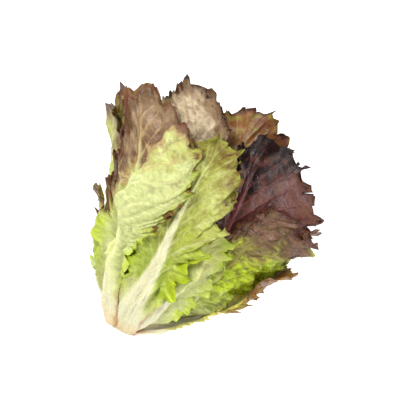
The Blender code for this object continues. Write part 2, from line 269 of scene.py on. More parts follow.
class Lattice:
    """The rho that the leaves laid so far reach, over angle and distance from the butt."""

    def __init__(self):
        self.columns = round(2 * math.pi / ANGLE_STEP)
        self.rows = round(LATTICE_LENGTH / LENGTH_STEP) + 1
        angle = np.arange(self.columns)[:, None] * ANGLE_STEP
        y = np.arange(self.rows)[None, :] * LENGTH_STEP
        stem = np.where(y < STEM_START + STEM_LENGTH, stem_radius(y), 0.0)
        self.reach = stem / shell_radius(angle, y)

    def corners(self, angle, y):
        """The four lattice points round each place, with their shares."""
        across, along = angle / ANGLE_STEP, y / LENGTH_STEP
        column = np.floor(across).astype(int)
        row = np.clip(np.floor(along).astype(int), 0, self.rows - 2)
        across, along = across - column, np.clip(along - row, 0, 1)
        for i, wide in ((0, 1 - across), (1, across)):
            for j, far in ((0, 1 - along), (1, along)):
                yield ((column + i) % self.columns, row + j), wide * far

    def reached(self, angle, y):
        return sum(self.reach[at] * share for at, share in self.corners(angle, y))

    def add(self, angle, y, rho):
        for at, _ in self.corners(angle, y):
            np.maximum.at(self.reach, at, rho)


def phases_of(seed):
    """Two seeded phases for a leaf's waves."""
    return np.random.default_rng(seed).uniform(0, 2 * math.pi, 2)


def spread_of(v, u, t):
    """The leaf's half width at each place, in metres."""
    blade, wing = (np.where(u < 0, *v[sides]) * MM for sides in ("width", "wing"))
    petiole = v["petiole"] * MM
    spread = petiole + (wing - petiole) * smooth(*NECK_SPAN, t)
    return spread + (blade - wing) * smooth(*BLADE_SPAN, t)


class Leaf:
    """The grid of one solid leaf: where each point lies on the shell, and its depth."""

    def __init__(self, values):
        self.v = values
        rows, columns = values["grid"]
        half = np.array(columns)
        self.u = np.concatenate([-half[:0:-1], half])[None, :]
        self.t = np.linspace(0, 1, rows + 1)[:, None] ** ROW_SPACING
        self.place()
        self.rho = np.full_like(self.y, values["rho"])

    def place(self):
        """Lays the leaf's outline out flat: how far across it and along the head each point is."""
        v, u, t = self.v, self.u, self.t
        self.length = (v["tip"] - v["base"]) * MM
        across = u * spread_of(v, u, t)
        along = self.length * (t - TIP_ROUNDING * t**2 * np.abs(u) ** TIP_POWER)
        self.around = np.arctan2(across, along - FAN_CENTRE * self.length)
        self.margin = 1 - (1 - np.abs(u) ** SIDE_MARGIN_POWER) * (1 - t**TIP_MARGIN_POWER)
        grown = smooth(*LOBE_SPAN, t)
        lobes = self.lobes() * grown
        side_teeth, tip_teeth = self.teeth()
        self.across = across * (1 + lobes + side_teeth * grown)
        heel = HEEL * u**2 * (1 - t) ** HEEL_POWER
        self.tooth = along * tip_teeth
        self.y = v["base"] * MM + heel + along * (1 + LOBE_LENGTH * lobes * t + tip_teeth)

    def lobes(self):
        """The outline's slow waves, in and out."""
        waves = zip(LOBES, phases_of(self.v["seed"]))
        swell = sum(size * np.sin(count * self.around + phase) for (count, size), phase in waves)
        return self.margin**2 * swell

    def teeth(self):
        """In and out by turns: across the leaf at its side edges, and along it at its tip."""
        rows, columns = np.indices(self.margin.shape)
        turn = (-1.0) ** (rows + columns)
        side = np.abs(self.u) == 1
        return side * SIDE_TOOTH * turn, (self.t == 1) * ~side * TIP_TOOTH * turn

    def march(self, rho):
        """The angle of each point at a depth, found by stepping out from the midrib along the shell."""
        base, middle, tip = np.radians(self.v["angle"])
        share = (self.y - self.v["base"] * MM) / self.length
        bend = 4 * (middle - (base + tip) / 2)
        line = base + (tip - base) * share + bend * share * (1 - share)
        centre = self.u.shape[1] // 2
        angle = np.empty_like(self.y)
        angle[:, centre] = line[:, centre]
        for order in (range(centre + 1, self.u.shape[1]), range(centre - 1, -1, -1)):
            before = centre
            for j in order:
                here = angle[:, before]
                per_angle = rho[:, j] * width_per_angle(here, self.y[:, j])
                step = (self.across[:, j] - self.across[:, before]) / per_angle
                angle[:, j] = here - step + (line[:, j] - line[:, before])
                before = j
        return angle

    def depth(self):
        v, u, t = self.v, self.u, self.t
        rho = v["rho"] + v["flare"] * smooth(*FLARE_SPAN, t) + v["tilt"] * u * smooth(*TILT_SPAN, t)
        start = (stem_radius(self.y) + STEM_GAP) / shell_radius(self.angle, self.y)
        rho = start + (rho - start) * smooth(*LEAVING_SPAN, t)
        counts = (v["waves"], v["waves"] // 2 + 1)
        waves = zip(FRILL_SHARES, counts, phases_of(v["seed"] + 100))
        frill = sum(share * np.cos(count * self.around + phase) for share, count, phase in waves)
        frill = frill * v["frill"] * MM * self.margin**FRILL_POWER * smooth(*FRILL_SPAN, t)
        curl = v["curl"] * MM * self.margin**CURL_POWER * smooth(*CURL_SPAN, t)
        fold = v["fold"] * MM * np.exp(-((self.across / FOLD_HALF_WIDTH) ** 2)) * smooth(*FOLD_SPAN, t)
        return rho + (frill + curl - fold) / shell_radius(self.angle, self.y)

    def thickness(self):
        t = self.t
        taper = (1 - t) ** RIB_TAPER * smooth(*RIB_START_SPAN, t)
        width = RIB_TIP_HALF_WIDTH + (RIB_HALF_WIDTH - RIB_TIP_HALF_WIDTH) * (1 - t)
        return BLADE + self.v["rib"] * MM * taper * np.exp(-((self.across / width) ** 2))

    def faces(self):
        """The inner and the outer face, as grids of points in space."""
        inner_face = to_space(self.angle, self.y, self.rho)
        down = np.gradient(inner_face, axis=0)
        over = np.gradient(inner_face, axis=1)
        normal = np.cross(down, over)
        normal /= np.linalg.norm(normal, axis=-1, keepdims=True)
        x, z = outline_at(self.angle, self.y)
        outward = np.stack([x, 0 * x, z], -1) / np.hypot(x, z)[..., None]
        slope = np.abs(np.sum(normal * outward, axis=-1))
        reach = self.thickness() / np.maximum(slope, LEAST_SLOPE)
        return inner_face, inner_face + outward * reach[..., None]

    def clear(self, lattice):
        """Pushes the leaf out until its inner face is clear of what is laid already."""
        for _ in range(LAYING_PASSES):
            angle, y, rho = to_shell(samples(self.faces()[0]))
            short = lattice.reached(angle, y) + self.v["gap"] * MM / shell_radius(angle, y) - rho
            push = per_vertex(short, self.rho.shape)
            if push.max() <= 0:
                break
            self.rho = self.rho + push

    def lay_over(self, lattice):
        """Finds the leaf's place outside the leaves that are laid, at its own width."""
        for _ in range(LAYING_ROUNDS):
            self.angle = self.march(evened(self.rho))
            self.rho = self.depth()
            self.clear(lattice)
        for face in self.faces():
            lattice.add(*(values.ravel() for values in to_shell(samples(face))))


def evened(grid):
    """Each value averaged with those round it, twice."""
    for _ in range(2):
        padded = np.pad(grid, 1, mode="edge")
        rows = padded[:-2] + 2 * padded[1:-1] + padded[2:]
        grid = (rows[:, :-2] + 2 * rows[:, 1:-1] + rows[:, 2:]) / 16
    return grid


def triangles_of(shape):
    """Vertex numbers of a grid's triangles, three a row."""
    rows, columns = shape
    number = np.arange(rows * columns).reshape(rows, columns)
    a, b = number[:-1, :-1].ravel(), number[:-1, 1:].ravel()
    c, d = number[1:, 1:].ravel(), number[1:, :-1].ravel()
    return np.concatenate([np.stack([a, b, c], 1), np.stack([a, c, d], 1)])


def spots():
    """Shares of a triangle's three corners, evenly over it."""
    found = [(i, j, SPLIT - i - j) for i in range(SPLIT + 1) for j in range(SPLIT + 1 - i)]
    return np.array(found) / SPLIT


def samples(face):
    """Points spread evenly over a face's triangles."""
    corners = face.reshape(-1, 3)[triangles_of(face.shape[:2])]
    return np.einsum("sk,tkx->tsx", spots(), corners)


def per_vertex(short, shape):
    """How far each vertex's triangles are short at most."""
    triangles = triangles_of(shape)
    share = spots() / np.sum(spots() ** 2, axis=1, keepdims=True)
    most = np.zeros(shape[0] * shape[1])
    for corner in range(3):
        np.maximum.at(most, triangles[:, corner], (short * share[:, corner]).max(axis=1))
    return most.reshape(shape)


def head_origin(items):
    """The point under the middle of the head, at the level that its lowest leaf is pressed to."""
    points = np.concatenate([face.reshape(-1, 3) for item in items for face in item.faces()])
    low, high = points.min(axis=0), points.max(axis=0)
    return np.array([*(low + high)[:2] / 2, low[2] + FLATTENED])


# Colours, as a screen shows them from 0 to 255

def seen(red, green, blue):
    """A colour as light, from the values that a screen shows."""
    shares = np.array([red, green, blue]) / 255
    light = np.where(shares <= 0.04045, shares / 12.92, ((shares + 0.055) / 1.055) ** 2.4)
    return (*light.tolist(), 1.0)


CREAM = seen(224, 220, 180)
PINK_CREAM = seen(222, 196, 146)
RIB_GREEN = seen(212, 218, 132)
RIB_CREAM = seen(226, 228, 160)
PALE_GREEN = seen(196, 200, 114)
YELLOW_GREEN = seen(176, 184, 76)
LIME = seen(172, 190, 62)
BRIGHT_LIME = seen(182, 202, 28)
PALE = seen(202, 208, 136)
OLIVE = seen(150, 142, 56)
OLIVE_BROWN = seen(112, 88, 42)
TAN = seen(192, 162, 110)
PALE_TAN = seen(204, 184, 152)
MAUVE = seen(150, 122, 90)
PINK_BROWN = seen(118, 82, 58)
RED_BROWN = seen(108, 62, 38)
BROWN = seen(96, 64, 34)
MAROON = seen(74, 36, 28)
NIGHT = seen(32, 17, 16)
MAGENTA = seen(150, 70, 74)
WINE = seen(98, 58, 52)
YELLOW = seen(234, 224, 110)
AMBER = seen(150, 102, 58)
MUD = seen(100, 70, 40)
HEEL_TAN = seen(170, 122, 76)


PLAIN_LOOK = {
    "edge_width": 5.0, "edge_turn": (0.45, 0.75),
    "fringe": NIGHT, "fringe_share": 0.5, "fringe_span": (0.5, 0.8), "fringe_width": 2.5,
    "blotch": MAUVE, "blotch_share": 0.3, "vein_share": 0.4, "lean": 0.0,
    # pucker sets the puckers' bump height and the painted shade in their hollows
    "ruffle": 1.0, "lobe": 1.0, "tooth": 1.0, "crinkle": 1.0, "pleat": 0.8, "pucker": 0.5,
    "neck": (0.05, 0.2), "rib_width": (7.5, 0.7), "roughness": 0.42, "fine": (120, 70), "slot": "leaf_green",
}


def look(blade, rib, edge, **more):
    """How a leaf is finished.

    blade and rib are ramps of (place along the leaf, colour). edge is the margin's colour low and high on it.
    lean makes the right side (positive) or the left one riper. fine is the blade's rows and columns.
    """
    return {**PLAIN_LOOK, "blade": blade, "rib": rib, "edge": edge, **more}


PALE_RIB = ((0.0, PINK_CREAM), (0.08, CREAM), (0.4, CREAM), (0.6, RIB_GREEN), (1.0, TAN))
GREEN_BLADE = ((0.0, CREAM), (0.2, PALE_GREEN), (0.5, LIME), (0.85, YELLOW_GREEN), (1.0, OLIVE))
BROWN_BLADE = (
    (0.0, CREAM), (0.25, PALE_GREEN), (0.5, YELLOW_GREEN), (0.7, OLIVE_BROWN), (0.9, BROWN), (1.0, MAROON),
)
HIDDEN = (GREEN_BLADE, PALE_RIB, (LIME, OLIVE_BROWN))
STEM_FLESH = ((0.3, PINK_CREAM), (0.6, CREAM), (0.8, TAN))

LOOKS = {
    "leaf_upper_left": look(
        ((0.0, RIB_GREEN), (0.2, PALE), (0.5, PALE), (0.57, PALE_GREEN), (0.64, TAN), (0.69, PINK_BROWN),
         (0.8, MAUVE), (0.9, MAUVE), (0.97, MUD), (1.0, BROWN)),
        ((0.0, PINK_CREAM), (0.08, CREAM), (0.3, RIB_CREAM), (0.6, RIB_CREAM), (0.8, TAN), (1.0, MAUVE)),
        (BRIGHT_LIME, RED_BROWN), lean=-0.7, blotch=MUD, blotch_share=0.4, rib_width=(10, 0.5),
        fringe=RED_BROWN, fringe_share=0.95, fringe_span=(0.42, 0.55), fringe_width=6.0, pucker=0.7,
        vein_share=0.65, ruffle=0.9, lobe=1.6, tooth=1.8, fine=(230, 120), slot="leaf_pale",
    ),
    "leaf_upper_middle": look(
        ((0.0, CREAM), (0.14, RIB_GREEN), (0.3, LIME), (0.55, YELLOW_GREEN), (0.8, PALE_GREEN), (0.92, OLIVE),
         (1.0, RED_BROWN)),
        ((0.0, PINK_CREAM), (0.06, CREAM), (0.5, CREAM), (0.8, RIB_GREEN), (1.0, RIB_GREEN)),
        (BRIGHT_LIME, YELLOW_GREEN), blotch=OLIVE, blotch_share=0.8, rib_width=(14, 0.6),
        fringe=RED_BROWN, fringe_share=0.95, fringe_width=4.5, crinkle=1.8, pucker=0.9, ruffle=1.2, lobe=1.9,
        tooth=1.7, fine=(210, 96), slot="leaf_pale",
    ),
    "leaf_upper_right": look(
        ((0.0, CREAM), (0.3, PALE), (0.6, PALE), (1.0, PALE_GREEN)),
        PALE_RIB, (BRIGHT_LIME, LIME), fringe_share=0.0, rib_width=(9, 0.7), lobe=0.6, fine=(120, 50),
        slot="leaf_pale",
    ),
    "leaf_right_crinkled": look(
        ((0.0, CREAM), (0.2, PALE), (0.4, BRIGHT_LIME), (0.62, BRIGHT_LIME), (0.69, OLIVE), (0.76, MUD),
         (0.86, PINK_BROWN), (1.0, RED_BROWN)),
        ((0.0, PINK_CREAM), (0.1, CREAM), (0.35, PALE), (0.6, OLIVE), (1.0, BROWN)),
        (BRIGHT_LIME, MAROON), edge_turn=(0.84, 0.90), edge_width=2.6, lean=-0.35, blotch=OLIVE_BROWN,
        blotch_share=0.75, rib_width=(6, 0.3), fringe=MAROON, fringe_width=2.0,
        fringe_share=0.7, crinkle=3.6, vein_share=0.25, pucker=2.4, lobe=1.4, fine=(190, 120),
    ),
    "leaf_dark_red": look(
        ((0.0, RED_BROWN), (0.3, WINE), (0.5, WINE), (0.62, MAROON), (0.72, NIGHT), (1.0, NIGHT)),
        ((0.0, CREAM), (0.4, TAN), (0.6, MAGENTA), (1.0, MAROON)),
        (MAROON, NIGHT), fringe_share=0.9, lean=-0.9, blotch=RED_BROWN, blotch_share=0.5, vein_share=0.5,
        roughness=0.32, pleat=3.6, crinkle=0.7, lobe=1.6, tooth=1.7, fine=(170, 110), slot="leaf_dark",
    ),
    "leaf_top_hood": look(
        ((0.0, CREAM), (0.5, YELLOW_GREEN), (0.66, PALE_GREEN), (0.76, PALE_TAN), (0.92, PALE_TAN),
         (1.0, MAUVE)),
        PALE_RIB, (OLIVE_BROWN, MAROON), fringe_share=0.8, blotch=RED_BROWN, blotch_share=0.5, vein_share=0.2,
        lean=0.5, pleat=2.0, crinkle=1.6, pucker=1.1, lobe=1.3, tooth=1.8, fine=(150, 90), slot="leaf_brown",
    ),
    "leaf_top_right": look(
        ((0.0, CREAM), (0.4, YELLOW_GREEN), (0.6, OLIVE_BROWN), (0.85, AMBER), (1.0, RED_BROWN)),
        PALE_RIB, (OLIVE_BROWN, MAROON), fringe_share=0.7, blotch=OLIVE, blotch_share=0.7, vein_share=0.2,
        pleat=2.5, crinkle=1.4, lobe=1.8, tooth=1.7, fine=(140, 84), slot="leaf_brown",
    ),
    "leaf_right": look(
        ((0.0, CREAM), (0.3, CREAM), (0.45, PALE), (0.68, YELLOW), (0.85, OLIVE_BROWN), (1.0, RED_BROWN)),
        PALE_RIB, (YELLOW, MAROON), neck=(0.2, 0.45), rib_width=(14, 0.7), fringe_share=0.7, blotch=AMBER,
        blotch_share=0.6, vein_share=0.3, crinkle=1.3, lobe=1.5, tooth=1.5, fine=(140, 80),
        slot="leaf_brown",
    ),
    "leaf_right_outer": look(
        ((0.0, CREAM), (0.32, CREAM), (0.48, YELLOW), (0.72, YELLOW), (0.84, AMBER), (1.0, RED_BROWN)),
        PALE_RIB, (YELLOW, AMBER), neck=(0.2, 0.45), rib_width=(14, 0.7),
        blotch=OLIVE_BROWN, blotch_share=0.5, vein_share=0.3, crinkle=1.3, lobe=1.5, tooth=1.4,
        fine=(130, 90), slot="leaf_brown",
    ),
    "leaf_back_left": look(
        BROWN_BLADE, PALE_RIB, (OLIVE, RED_BROWN), blotch=PALE_GREEN, blotch_share=0.7, lobe=1.6,
        fine=(120, 60), slot="leaf_brown",
    ),
    "leaf_left": look(
        ((0.0, CREAM), (0.25, PALE_GREEN), (0.5, LIME), (0.75, YELLOW_GREEN), (0.9, OLIVE), (1.0, BROWN)),
        PALE_RIB, (LIME, BROWN), fine=(110, 60),
    ),
    "leaf_left_outer": look(
        ((0.0, CREAM), (0.2, PALE_GREEN), (0.5, LIME), (0.75, YELLOW_GREEN), (0.9, TAN), (1.0, RED_BROWN)),
        PALE_RIB, (LIME, PINK_BROWN), fine=(110, 60),
    ),
    "leaf_under_left": look(*HIDDEN, fine=(90, 56)),
    "leaf_under_right": look(*HIDDEN, fine=(90, 56)),
    "leaf_under_middle": look(*HIDDEN, ruffle=0.0, crinkle=0.3, fine=(90, 56)),
}
INNER_LOOK = look(*HIDDEN, ruffle=0.6, fine=(60, 40))

# Uneven waves, in crests, and noise, in cells
CRESTS_A_WAVE = 2.6
SPARE_CRESTS = 8
CREST_SPACING = (0.65, 1.35)
CREST_HEIGHT = (0.15, 1.0)
NOISE_CELLS = 64


def spline(values, at):
    """Values between the rows of a grid, by a curve that passes through each."""
    last = len(values) - 1
    before = np.clip(np.floor(at).astype(int), 0, last - 1)
    f = (at - before)[:, None]
    padded = np.concatenate([2 * values[:1] - values[1:2], values, 2 * values[-1:] - values[-2:-1]])
    p0, p1, p2, p3 = (padded[before + k] for k in range(4))
    square = 2 * p0 - 5 * p1 + 4 * p2 - p3
    cube = 3 * p1 - p0 - 3 * p2 + p3
    return 0.5 * (2 * p1 + (p2 - p0) * f + square * f**2 + cube * f**3)


def uneven_wave(seed, wavelength, at, pointed=False):
    """A wave between -1 and 1 whose crests differ in height and distance."""
    draw = np.random.default_rng(seed)
    count = int(np.ceil(CRESTS_A_WAVE * (at.max() - at.min()) / wavelength)) + SPARE_CRESTS
    knots = at.min() - wavelength + np.cumsum(draw.uniform(*CREST_SPACING, count)) * wavelength / 2
    heights = (-1.0) ** np.arange(count) * draw.uniform(*CREST_HEIGHT, count)
    i = np.clip(np.searchsorted(knots, at) - 1, 0, count - 2)
    f = np.clip((at - knots[i]) / (knots[i + 1] - knots[i]), 0, 1)
    if not pointed:
        f = f * f * (3 - 2 * f)
    return heights[i] + (heights[i + 1] - heights[i]) * f


def cloud(seed, x, y):
    """Smooth noise between -1 and 1 over a plane, one bump a unit."""
    table = np.random.default_rng(seed).uniform(-1, 1, (NOISE_CELLS, NOISE_CELLS))
    i, j = np.floor(x).astype(int), np.floor(y).astype(int)
    f, g = x - i, y - j
    f, g = f * f * (3 - 2 * f), g * g * (3 - 2 * g)
    at = [[table[(i + a) % NOISE_CELLS, (j + b) % NOISE_CELLS] for b in (0, 1)] for a in (0, 1)]
    low = at[0][0] * (1 - g) + at[0][1] * g
    high = at[1][0] * (1 - g) + at[1][1] * g
    return low * (1 - f) + high * f


# Veins: they hug the midrib, then sweep out to the margin
VEIN_SWEEP = 46 * MM
VEIN_SPACING = 19 * MM
VEIN_START = 13 * MM
VEIN_WANDER = 0.16
VEIN_WANDER_SIZE = (22 * MM, 26 * MM)
VEIN_STAGGER = 0.45
VEIN_HEIGHT = 0.6 * MM
VEIN_WIDTH_MM = 0.5
VEIN_SWELL_MM = 0.9
VEIN_SWELL_REACH = 20 * MM
VEIN_EDGE_SPAN = (0, 14 * MM)
VEIN_SPAN = (0.05, 0.25)
RIB_RISE = 2.2 * MM
RIB_NARROWING = 1.9
RIB_FADE = (0.55, 0.95)
RIB_FADED = 0.6
RIB_FINE_TAPER = 0.8
RIB_REACH = 1.15
RIB_ROUNDNESS = 0.8
RIB_COLOUR_REACH = 1.1
RIB_COLOUR_POWER = 4
RIB_SKIRT = 2 * MM
RIB_GROOVE = 1.3 * MM
GROOVE_PLACE = 1.6
GROOVE_WIDTH = 0.5
GROOVE_SPAN = (0.05, 0.2)
# Painted shade in the groove beside the rib: the span along the leaf where it is painted, and how much it
# darkens the colour
GROOVE_PAINTED_SHADE_SPAN = (0.08, 0.25)
GROOVE_PAINTED_SHADE = 0.3
# Painted shade in the pucker hollows: how much darker the colour is made there, for each unit of a leaf's
# pucker value
PUCKER_PAINTED_SHADE = 0.2
PUCKER_HEIGHT = 4
RIB_RIDGE = 0.06
RIB_RIDGES_APART = 3.6 * MM

# Ruffles of the margin: (wavelength, height, how far in they reach)
RUFFLES = ((27 * MM, 3.2 * MM, 12 * MM), (12 * MM, 3.6 * MM, 6 * MM), (5.6 * MM, 2.4 * MM, 3 * MM))
LOBES_OF_EDGE = ((25 * MM, 3.6 * MM, 12 * MM), (11 * MM, 2.4 * MM, 6 * MM))
TEETH = ((6 * MM, 1.5 * MM, 3 * MM), (3.2 * MM, 0.8 * MM, 1.8 * MM))
PLEATS = 9
PLEAT_SPAN = (0.25, 0.7)
RUFFLE_SPAN = (0.08, 0.32)
RUFFLE_LIFT = 0.7
NEAR_TABLE = 25 * MM
RUFFLE_LEAN = 0.7
RUFFLE_OFF_RIB = (1.1, 2.2)

# Crinkles between the veins: (height, width across, length along), in millimetres
CRINKLES = ((1.5, 9, 12), (0.8, 4.5, 5.5))
CRINKLE_SPAN = (0.1, 0.35)
CRINKLE_OFF_RIB = (0.8, 2.4)
BUBBLE_DEPTH = 0.8
BUBBLE_GAUGE = 9 * MM
RIPE_REACH = 100 * MM

# What is added to a leaf's seed for each of its draws
SEED_STEP = 17
VEIN_SEED = 5
RUFFLE_SEED = 9
CRINKLE_SEED = 21


def margin_of(grid):
    """A grid's values up one side of the leaf, over its tip and down the other side."""
    return np.concatenate([grid[:, 0], grid[-1, 1:-1], grid[::-1, -1]])


class FineLeaf(Leaf):
    """A leaf's fine grid, drawn through the solid's grid and given its ruffles, veins and bubbles."""

    def __init__(self, item, finish):
        self.item, self.look, self.v = item, finish, item.v
        rows, columns = finish["fine"]
        place = np.linspace(-1, 1, columns)
        self.u = (np.sign(place) * (1 - (1 - np.abs(place)) ** EDGE_CROWDING))[None, :]
        self.t = 1 - (1 - np.linspace(0, 1, rows)[:, None]) ** TIP_CROWDING
        row_at = (len(item.t) - 1) * self.t[:, 0] ** (1 / ROW_SPACING)
        column_at = np.interp(self.u[0], item.u[0], np.arange(item.u.size))

        def refined(grid):
            return spline(spline(grid, row_at).T, column_at).T

        self.angle, self.y, self.rho = refined(item.angle), refined(item.y - item.tooth), refined(item.rho)
        self.across = refined(item.across)
        self.along = self.y - self.v["base"] * MM
        self.set_out()
        self.shape()

    def set_out(self):
        """Distances from the edge, the place round it, and the veins' places."""
        u, t, length = self.u, self.t, self.item.length
        side = (1 - np.abs(u)) * spread_of(self.v, u, t) + 0 * t
        tip = (1 - t) * length + 0 * u
        self.edge = side * tip / np.maximum(side + tip, LEAST_LENGTH)
        around = np.arctan2(self.across, self.along - FAN_CENTRE * length)
        rim_around = margin_of(around)
        steps = np.linalg.norm(np.diff(margin_of(np.stack([self.across, self.along], -1)), axis=0), axis=1)
        arc = np.concatenate([[0], np.cumsum(steps)])
        order = np.argsort(rim_around)
        self.round = np.interp(around, rim_around[order], arc[order])
        out = np.stack([self.across, self.along - FAN_CENTRE * length], -1)
        self.out = out / np.maximum(np.linalg.norm(out, axis=-1, keepdims=True), LEAST_LENGTH)
        away = np.abs(self.across) + VEIN_START
        wide, long = VEIN_WANDER_SIZE
        wander = VEIN_WANDER * cloud(self.v["seed"] + VEIN_SEED, self.across / wide, self.along / long)
        sweep = (self.along - VEIN_SWEEP * np.log(away / VEIN_START)) / VEIN_SPACING
        self.vein_place = sweep + wander + np.where(self.across < 0, VEIN_STAGGER, 0.0)
        self.vein_gauge = VEIN_SPACING / np.sqrt(1 + (VEIN_SWEEP / away) ** 2)
        off = np.abs(self.vein_place % 1 - 0.5)
        self.vein_off = off * self.vein_gauge
        self.bubble = np.sin(math.pi * (self.vein_place % 1 - 0.5)) ** 2

    def shape(self):
        """Moves the margin in and out and along itself for its frill, and gives the depth its relief."""
        seed, finish = self.v["seed"] * SEED_STEP, self.look
        width = self.rib_width()
        from_rib = np.abs(self.across) / (width + RIB_SKIRT)
        free = smooth(*RUFFLE_SPAN, self.t) * smooth(*RUFFLE_OFF_RIB, from_rib)
        out = 0
        for k, (wavelength, height, reach) in enumerate(LOBES_OF_EDGE + TEETH):
            pointed = k >= len(LOBES_OF_EDGE)
            near = height * finish["tooth" if pointed else "lobe"] * free * np.exp(-self.edge / reach)
            out = out + near * uneven_wave(seed + k, wavelength, self.round, pointed)
        ruffle, lean = 0, 0
        for k, (wavelength, height, reach) in enumerate(RUFFLES):
            near = height * finish["ruffle"] * free * np.exp(-self.edge / reach)
            draw = seed + RUFFLE_SEED + k
            ruffle = ruffle + near * (RUFFLE_LIFT + uneven_wave(draw, wavelength, self.round))
            lean = lean + near * RUFFLE_LEAN * uneven_wave(draw, wavelength, self.round + wavelength / 4)
        over = out * self.out[..., 0] + lean * self.out[..., 1]
        per_angle = np.maximum(self.rho, LEAST_RHO) * width_per_angle(self.angle, self.y)
        self.angle = self.angle - over / per_angle
        self.y = self.y + out * self.out[..., 1] - lean * self.out[..., 0]
        x, y = self.across / MM, self.along / MM
        crinkle = 0
        for k, (size, wide, long) in enumerate(CRINKLES):
            crinkle = crinkle + size * cloud(seed + CRINKLE_SEED + k, x / wide, y / long)
        bubbles = BUBBLE_DEPTH * self.bubble * np.minimum(self.vein_gauge / BUBBLE_GAUGE, 1)
        off_rib = smooth(*CRINKLE_OFF_RIB, from_rib)
        puckered = (crinkle - bubbles) * off_rib * smooth(*CRINKLE_SPAN, self.t) * finish["crinkle"] * MM
        around = np.arctan2(self.across, self.along - FAN_CENTRE * self.item.length)
        pleat = np.sin(PLEATS * around + seed) * smooth(*PLEAT_SPAN, self.t) * off_rib * finish["pleat"] * MM
        off_groove = (np.abs(self.across) - GROOVE_PLACE * width) / (GROOVE_WIDTH * width)
        self.beside = np.exp(-(off_groove**2))
        groove = RIB_GROOVE * self.beside * (1 - self.t) * smooth(*GROOVE_SPAN, self.t)
        self.relief = ruffle + puckered + pleat - groove

    def rib_width(self):
        """Half the width of the midrib, which swells towards the base."""
        low, high = self.look["rib_width"][1] * MM, self.look["rib_width"][0] * MM
        return low + (high - low) * (1 - self.t) ** RIB_NARROWING

    def thickness(self):
        """The blade, its vein ridges and its midrib, which is round across and tapers to the tip."""
        taper = (1 - self.t) ** RIB_FINE_TAPER * smooth(*RIB_START_SPAN, self.t)
        off_middle = self.across / (RIB_REACH * self.rib_width())
        round_off = np.clip(1 - off_middle**2, 0, 1) ** RIB_ROUNDNESS
        ridges = 1 + RIB_RIDGE * np.cos(2 * math.pi * self.across / RIB_RIDGES_APART)
        rib = (self.v["rib"] * MM + RIB_RISE) * taper * round_off * ridges
        swell = np.exp(-np.abs(self.across) / VEIN_SWELL_REACH)
        vein_width = (VEIN_WIDTH_MM + VEIN_SWELL_MM * swell) * MM
        vein = VEIN_HEIGHT * np.exp(-((self.vein_off / vein_width) ** 2)) * smooth(*VEIN_EDGE_SPAN, self.edge)
        blade = EDGE_BLADE + (FINE_BLADE - EDGE_BLADE) * smooth(*EDGE_BLADE_SPAN, self.edge)
        return blade + rib + vein * smooth(*VEIN_SPAN, self.t)

    def settle(self, lattice, ceiling, floor):
        """Keeps the leaf under those laid over it, clear of those beneath, and off the table."""
        radius = shell_radius(self.angle, self.y)
        height = to_space(self.angle, self.y, self.rho)[..., 2] - floor
        wanted = self.rho + self.relief * smooth(0, NEAR_TABLE, height) / radius
        top = ceiling_at(lattice, ceiling, self.angle, self.y) - (self.thickness() + CLEARANCE) / radius
        wanted = np.minimum(wanted, np.maximum(top, self.rho))
        push = np.maximum(lattice.reached(self.angle, self.y) + CLEARANCE / radius - wanted, 0)
        eased = push
        for _ in range(EASING_PASSES):
            eased = np.maximum(evened(eased), push)
        self.rho = wanted + eased
        outer = self.faces()[1]
        lattice.add(*(values.ravel() for values in to_shell(outer)))


def ceilings(items, lattice):
    """For each leaf, the least rho of the leaves laid over it, over the lattice."""
    above = np.full_like(lattice.reach, np.inf)
    found = []
    for item in reversed(items):
        found.append(above.copy())
        angle, y, rho = (values.ravel() for values in to_shell(samples(item.faces()[0])))
        for at, _ in lattice.corners(angle, y):
            np.minimum.at(above, at, rho)
    return found[::-1]


def ceiling_at(lattice, ceiling, angle, y):
    return np.minimum.reduce([ceiling[at] for at, _ in lattice.corners(angle, y)])


def mesh_object(name, points, triangles):
    mesh = bpy.data.meshes.new(name)
    mesh.vertices.add(len(points))
    mesh.vertices.foreach_set("co", points.astype(np.float32).ravel())
    mesh.loops.add(triangles.size)
    mesh.loops.foreach_set("vertex_index", triangles.astype(np.int32).ravel())
    mesh.polygons.add(len(triangles))
    mesh.polygons.foreach_set("loop_start", np.arange(0, triangles.size, 3, dtype=np.int32))
    mesh.update(calc_edges=True)
    mesh.shade_smooth()
    made = bpy.data.objects.new(name, mesh)
    bpy.context.scene.collection.objects.link(made)
    return made


def give(mesh, name, values):
    """Stores a number for each point of both faces, for the material to read."""
    held = mesh.attributes.new(name, "FLOAT", "POINT")
    held.data.foreach_set("value", np.concatenate([values.ravel()] * 2).astype(np.float32))


def rim_of(number):
    """Vertex numbers round the edge of a grid, in order."""
    return np.concatenate([number[0, :], number[1:, -1], number[-1, -2::-1], number[-2:0:-1, 0]])


